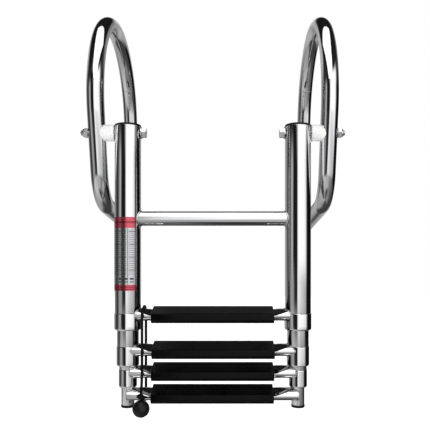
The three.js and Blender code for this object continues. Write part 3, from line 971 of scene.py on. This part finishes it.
def make_cord():
    line = catmull_rom(cord_points(), CORD_STEP)
    sides = CORD_SIDES
    rings, lengths, total = [], [], 0.0
    normal = Vector((1, 0, 0))
    for k, point in enumerate(line):
        tangent = (line[min(k + 1, len(line) - 1)] - line[max(k - 1, 0)]).normalized()
        normal = (normal - tangent * normal.dot(tangent)).normalized()
        other = tangent.cross(normal)
        if k:
            total += (point - line[k - 1]).length
        lengths.append(total)
        rings.append([tuple(point + (normal * math.cos(a) + other * math.sin(a)) * CORD_R)
                      for a in (2 * math.pi * i / sides for i in range(sides))])
    verts, faces = grid(rings)
    uvs = []
    for k in range(len(rings) - 1):
        for i in range(sides):
            u0, u1 = i / sides, (i + 1) / sides
            uvs.append(((u0, lengths[k]), (u1, lengths[k]), (u1, lengths[k + 1]),
                        (u0, lengths[k + 1])))
    last = (len(rings) - 1) * sides
    for start in (0, last):
        faces.append(tuple(start + i for i in range(sides)))
        uvs.append(tuple((0.0, 0.0) for _ in range(sides)))
    piece("elastic_cord", verts, faces, [CORD], "upper_frame", "bungee_cord", ["bungee_cord"],
          uvs=uvs, sharp=60.0)


def make_ball():
    low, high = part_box("bungee_ball")
    r = (high[2] - low[2]) / 2 / MM
    x, y, z = (centre_of("bungee_ball") - HOME) / MM
    profile = [(0.4, -r + 0.3), (1.6, -r + 0.2)]
    for i in range(61):
        a = math.radians(-80 + 160 * i / 60)
        seam = 0.1 * math.exp(-((math.degrees(a)) / 1.6) ** 2)
        profile.append(((r + seam - 0.1) * math.cos(a), (r - 0.05) * math.sin(a)))
    profile += [(1.6, r - 0.4), (0.4, r - 0.6)]
    part = lathe([(pr, z + pz) for pr, pz in profile], x, y, sides=96, close=False)
    piece("cord_ball", *part, [BALL_RUBBER], "upper_frame", "bungee_ball", ["bungee_ball"],
          sharp=40.0)


make_cord()
make_ball()

# ---------------------------------------------------------------- studio

FLOOR_Z, FLOOR_SIDES = -1.16, 64
ROOM_R, ROOM_SIDES, ROOM_RINGS = 14.0, 48, 16


def emission_material(name, colour, strength):
    material = bpy.data.materials.new(name)
    material.use_nodes = True
    tree = material.node_tree
    tree.nodes.clear()
    glow = tree.nodes.new("ShaderNodeEmission")
    glow.inputs["Color"].default_value = (*colour, 1)
    glow.inputs["Strength"].default_value = strength
    out = tree.nodes.new("ShaderNodeOutputMaterial")
    tree.links.new(glow.outputs["Emission"], out.inputs["Surface"])
    return material


def stage_mesh(name, verts, faces, material):
    mesh = bpy.data.meshes.new(name)
    mesh.from_pydata(verts, [], faces)
    mesh.materials.append(material)
    obj = bpy.data.objects.new(name, mesh)
    bpy.context.collection.objects.link(obj)
    return obj


def disc(radius, z):
    angles = [2 * math.pi * i / FLOOR_SIDES for i in range(FLOOR_SIDES)]
    verts = [(radius * math.cos(a), radius * math.sin(a), z) for a in angles]
    return verts, [tuple(range(FLOOR_SIDES))]


floor_nodes = Nodes("floor_paper")
floor_nodes.put(Metallic=0.0, Roughness=0.9)
floor_nodes.colours(floor_nodes.noise(3.0), (0.90, 0.90, 0.90), (0.93, 0.93, 0.93))
floor_nodes.put(Emission_Color=(1, 1, 1, 1), Emission_Strength=0.95)
floor = stage_mesh("floor", *disc(ROOM_R, FLOOR_Z), floor_nodes.material)
floor.visible_glossy = False

# A white surround that the camera sees behind the object; reflections see the world.
rings = []
for i in range(ROOM_RINGS + 1):
    a = math.radians(-10 + 100 * i / ROOM_RINGS)
    rings.append([(ROOM_R * math.cos(a) * math.cos(2 * math.pi * k / ROOM_SIDES) + 0.001 * k,
                   ROOM_R * math.cos(a) * math.sin(2 * math.pi * k / ROOM_SIDES),
                   FLOOR_Z + ROOM_R * math.sin(a)) for k in range(ROOM_SIDES)])
surround = stage_mesh("surround", *grid(rings), emission_material("surround_white", (1, 1, 1), 1.0))
surround.visible_glossy = False
surround.visible_diffuse = False
surround.visible_shadow = False
surround.visible_transmission = False

# The studio that the polished steel mirrors: white panels with dark gaps between them. Each
# layer is a height (the sine of its elevation, where it starts and where it is complete) and
# its brightness by direction, in degrees from the camera's side (0) round to the right (90).
FLOOR = [(-180, 0.05), (-150, 0.16), (-130, 0.26), (-75, 0.4), (-38, 0.36), (-15, 0.05), (12, 0.04),
         (50, 0.2), (85, 0.2), (110, 0.16), (140, 0.05), (180, 0.05)]
WHITE = 1.25
LAYERS = [
    ((-0.92, -0.76), [(-180, 0.04), (-160, 0.048), (-146, 0.28), (-100, 0.34), (-70, 0.5),
                      (-40, 0.45), (-10, 0.34), (8, 0.4), (25, 0.24), (60, 0.15), (110, 0.048),
                      (150, 0.04), (180, 0.04)]),
    ((-0.46, -0.28), [(-180, 0.033), (-165, 0.33), (-150, 0.385), (-138, 0.248), (-127, 0.2),
                      (-100, 0.028), (-88, 0.04), (-70, 0.28), (-50, 0.26), (-36, 0.024),
                      (-15, 0.008), (-11.5, 0.2), (-8.5, 0.65), (-4, 0.8), (18, 0.62), (42, 0.48),
                      (66, 0.34), (77, 0.02), (86, 0.004), (140, 0.004), (151, 0.175), (162, 0.35),
                      (171, 0.25), (180, 0.075)]),
    ((-0.24, -0.08), [(-180, 0.138), (-164, 0.358), (-150, 0.385), (-138, 0.248), (-127, 0.22),
                      (-108, 0.04), (-84, 0.028), (-70, 0.2), (-60, 0.42), (-53, 0.3), (-46, 0.012),
                      (-15, 0.006), (-11, 0.2), (-7.5, 0.7), (0, 0.95), (30, 1), (58, 0.85),
                      (69, 0.55), (78, 0.048), (86, 0.004), (142, 0.004), (152, 0.3), (163, 0.4),
                      (174, 0.15), (180, 0.125)]),
    ((0.28, 0.46), [(-180, 0.55), (-165, 0.3), (-150, 0.45), (-118, 0.4), (-102, 0.048),
                    (-84, 0.016), (-60, 0.024), (-47, 0.008), (-22, 0.008), (-13, 0.25), (-5, 0.8),
                    (4, 1), (62, 1), (74, 0.6), (84, 0.2), (95, 0.024), (120, 0.04), (146, 0.22),
                    (164, 0.16), (175, 0.45), (180, 0.55)]),
    ((0.5, 0.64), [(-180, 0.009), (-150, 0.008), (-44, 0.008), (-27, 0.3), (-17, 0.9), (0, 1),
                   (14, 1), (25, 0.4), (38, 0.012), (150, 0.008), (180, 0.009)]),
]
# Where a Mix node keeps its colour sockets.
MIX_COLOUR_A, MIX_COLOUR_B, MIX_COLOUR_RESULT = 6, 7, 2


def make_world():
    world = bpy.data.worlds.new("studio")
    bpy.context.scene.world = world
    world.use_nodes = True
    tree = world.node_tree
    tree.nodes.clear()

    def node(kind, **settings):
        made = tree.nodes.new(kind)
        for key, value in settings.items():
            setattr(made, key, value)
        return made

    def math_node(operation, a, b=None):
        made = node("ShaderNodeMath", operation=operation)
        for slot, value in ((0, a), (1, b)):
            if value is None:
                continue
            if isinstance(value, (int, float)):
                made.inputs[slot].default_value = value
            else:
                tree.links.new(value, made.inputs[slot])
        return made.outputs[0]

    def ramp(factor, stops):
        made = node("ShaderNodeValToRGB")
        elements = made.color_ramp.elements
        while len(elements) > 1:
            elements.remove(elements[-1])
        for i, (angle, value) in enumerate(stops):
            position = (angle / 180 + 1) / 2
            element = elements[0] if i == 0 else elements.new(position)
            element.position = position
            element.color = (value, value, value * 1.01, 1)
        tree.links.new(factor, made.inputs["Fac"])
        return made.outputs["Color"]

    def step(value, low, high):
        made = node("ShaderNodeMapRange", interpolation_type="SMOOTHSTEP")
        made.inputs["From Min"].default_value = low
        made.inputs["From Max"].default_value = high
        tree.links.new(value, made.inputs["Value"])
        return made.outputs["Result"]

    def mix(factor, a, b):
        made = node("ShaderNodeMix", data_type="RGBA")
        tree.links.new(factor, made.inputs["Factor"])
        tree.links.new(a, made.inputs[MIX_COLOUR_A])
        tree.links.new(b, made.inputs[MIX_COLOUR_B])
        return made.outputs[MIX_COLOUR_RESULT]

    where = node("ShaderNodeTexCoord")
    split = node("ShaderNodeSeparateXYZ")
    tree.links.new(where.outputs["Generated"], split.inputs["Vector"])
    x, y, z = split.outputs
    back = math_node("MULTIPLY", y, -1.0)
    around = math_node("ARCTAN2", x, back)
    turn = math_node("MULTIPLY_ADD", around, 0.5 / math.pi)
    turn.node.inputs[2].default_value = 0.5
    whole = ramp(turn, FLOOR)
    for (start, complete), stops in LAYERS:
        whole = mix(step(z, start, complete), whole, ramp(turn, stops))
    background = node("ShaderNodeBackground")
    background.inputs["Strength"].default_value = WHITE
    tree.links.new(whole, background.inputs["Color"])
    out = node("ShaderNodeOutputWorld")
    tree.links.new(background.outputs["Background"], out.inputs["Surface"])


make_world()


def soft_light(name, place, target, size, power, mirrored=False):
    data = bpy.data.lights.new(name, "AREA")
    data.shape = "RECTANGLE"
    data.size, data.size_y = size
    data.energy = power
    light = bpy.data.objects.new(name, data)
    light.location = place
    light.rotation_euler = (Vector(target) - Vector(place)).to_track_quat("-Z", "Y").to_euler()
    light.visible_glossy = mirrored
    light.visible_camera = False
    bpy.context.collection.objects.link(light)


# A softbox overhead, between the handrails and forward of them. They mirror it on their inner
# sides only, because it ends just beyond them.
BOX_SIZE = (0.72, 1.34)
BOX_PLACE = (0.0, -0.65, 0.80)
BOX_POWER = WHITE * math.pi * BOX_SIZE[0] * BOX_SIZE[1]
soft_light("overhead_softbox", BOX_PLACE, (0.0, -0.65, 0.0), BOX_SIZE, BOX_POWER, mirrored=True)
soft_light("key_light", (0.9, -2.2, 1.6), (0, -0.1, 0), (1.8, 1.8), 14)
soft_light("back_light", (0.4, 2.4, 1.8), (0, 0, 0), (2.0, 2.0), 10)
